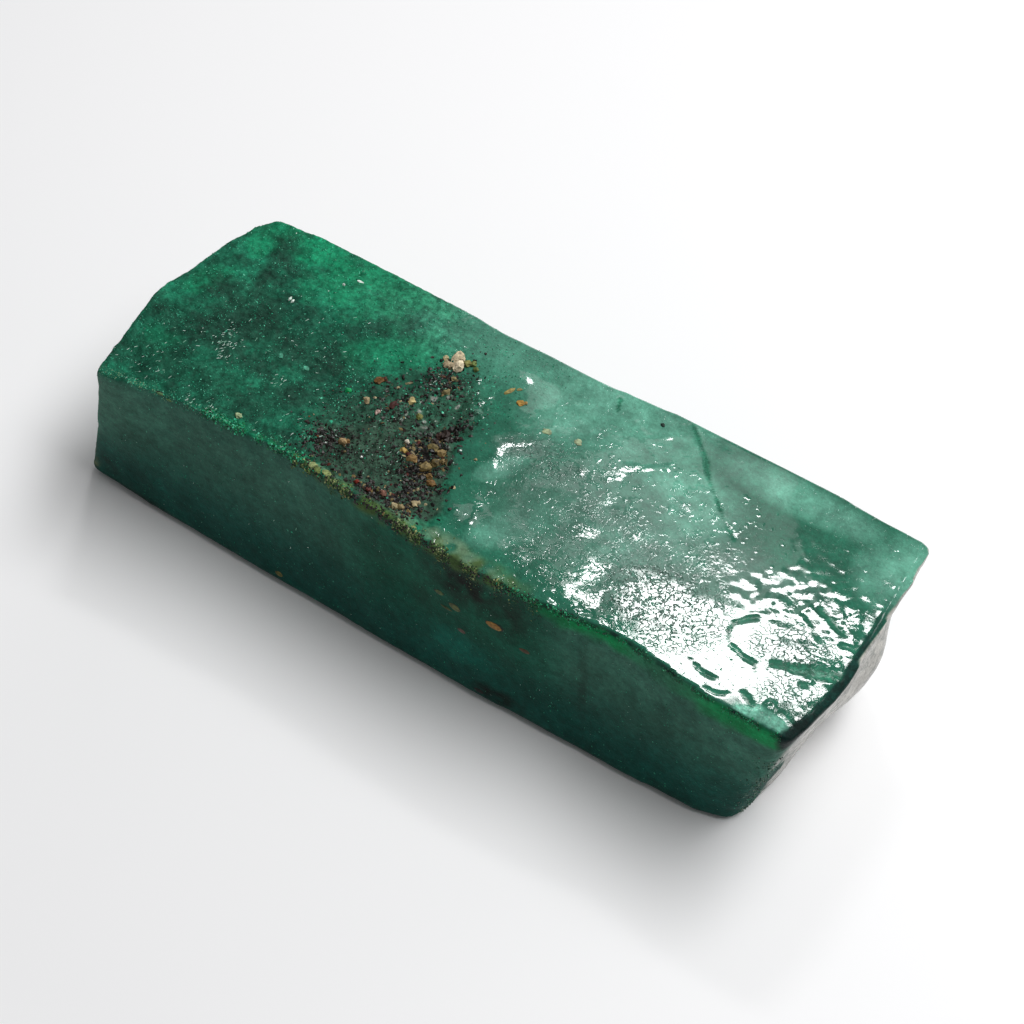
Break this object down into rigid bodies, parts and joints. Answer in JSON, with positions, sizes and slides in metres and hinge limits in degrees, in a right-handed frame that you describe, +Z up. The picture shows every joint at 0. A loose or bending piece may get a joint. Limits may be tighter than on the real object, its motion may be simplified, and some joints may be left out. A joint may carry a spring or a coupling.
{
  "type": "raw emerald crystal",
  "caption": "Rough opaque green beryl block, flat below and leaning at both ends, with dark and tan mineral grains grown into its top face.",
  "frame": {"origin": "middle of the bounding box, on the plane of the flat base", "axes": "+X along the block towards its undercut end, +Y towards its back face, +Z up from the base"},
  "size_m": [0.0878, 0.028, 0.0211],
  "materials": {
    "emerald": "rough crystalline emerald, dull and sugary on the left half, with a clear wet-looking coat on the right half of the top"
  },
  "bodies": {
    "root": {"raw_crystal": "emerald"}
  },
  "joints": []
}
